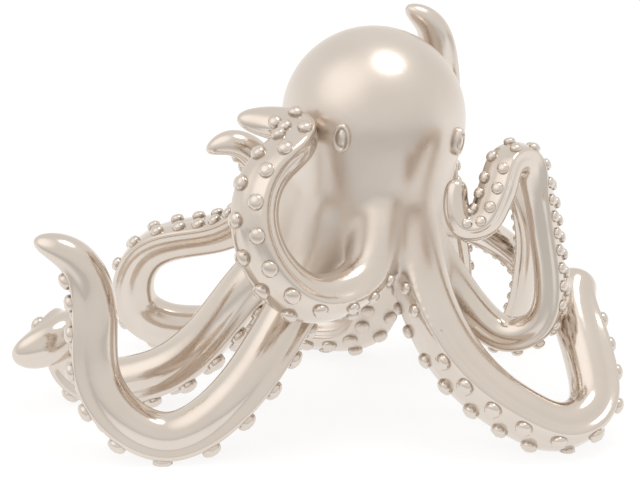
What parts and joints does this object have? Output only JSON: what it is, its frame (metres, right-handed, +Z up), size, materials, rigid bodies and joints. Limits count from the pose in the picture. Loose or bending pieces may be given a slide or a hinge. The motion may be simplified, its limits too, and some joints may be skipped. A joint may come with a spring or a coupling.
{
  "type": "octopus figurine",
  "caption": "Tabletop octopus figurine with a domed head and curling, suckered arms in polished champagne-silver plating, standing on its lower arms.",
  "frame": {"origin": "on the surface the figurine stands on, under the middle of its bounding box", "axes": "+X to the figurine's right-hand side of the picture and along its longest extent, -Y towards the viewer, +Z up"},
  "size_m": [0.3932, 0.2494, 0.2568],
  "materials": {
    "plating": "mirror-bright champagne-silver plating over cast resin",
    "pin_steel": "plain ground square bar"
  },
  "bodies": {
    "root": {"mantle": "plating", "arm_front_right": "plating", "arm_front_loop": "plating", "arm_front_left": "plating", "arm_left": "plating", "arm_back_left": "plating", "arm_back": "plating", "arm_back_right": "plating", "arm_right": "plating", "pin_front_right": "pin_steel", "pin_front_loop": "pin_steel", "pin_front_left": "pin_steel", "pin_left": "pin_steel", "pin_back_left": "pin_steel", "pin_back": "pin_steel", "pin_back_right": "pin_steel", "pin_right": "pin_steel"}
  },
  "joints": []
}
